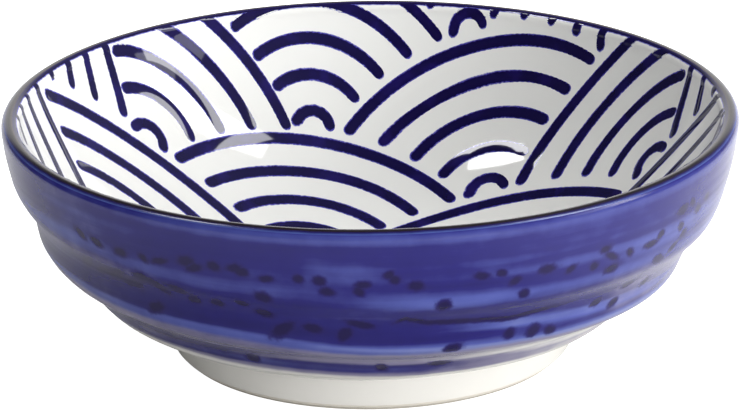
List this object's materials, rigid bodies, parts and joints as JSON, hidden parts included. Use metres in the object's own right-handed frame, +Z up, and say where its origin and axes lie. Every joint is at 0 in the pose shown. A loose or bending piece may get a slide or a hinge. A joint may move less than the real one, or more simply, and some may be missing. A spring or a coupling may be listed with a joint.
{
  "type": "soy sauce dish",
  "caption": "Small round glazed porcelain sauce dish: open bowl with a rounded lip, soft throwing rings outside, fan wave strokes inside and a low foot ring.",
  "frame": {"origin": "middle of the foot on the surface that the dish stands on", "axes": "+Z up along the axis of the bowl; +Y points away from the viewer of the picture, towards the back of the lip"},
  "size_m": [0.095, 0.095, 0.0318],
  "materials": {
    "porcelain": "fired white porcelain, covered by glaze all over",
    "bare_porcelain": "unglazed fired porcelain, matt, slightly sanded",
    "white_glaze": "glossy white glaze",
    "cobalt_strokes": "dark cobalt brush strokes under glossy glaze",
    "lip_glaze": "thin dark blue to brown glaze, glossy",
    "blue_glaze": "glossy cobalt blue glaze, thinner and greyer on the ridges, with dark pits",
    "clear_glaze": "clear glaze over white porcelain, glossy"
  },
  "bodies": {
    "root": {"bowl_body": "porcelain", "foot_ring": "bare_porcelain", "inner_glaze": "white_glaze", "wave_strokes": "cobalt_strokes", "rim_line": "lip_glaze", "outer_glaze": "blue_glaze", "foot_glaze": "clear_glaze", "base_glaze": "clear_glaze"}
  },
  "joints": []
}
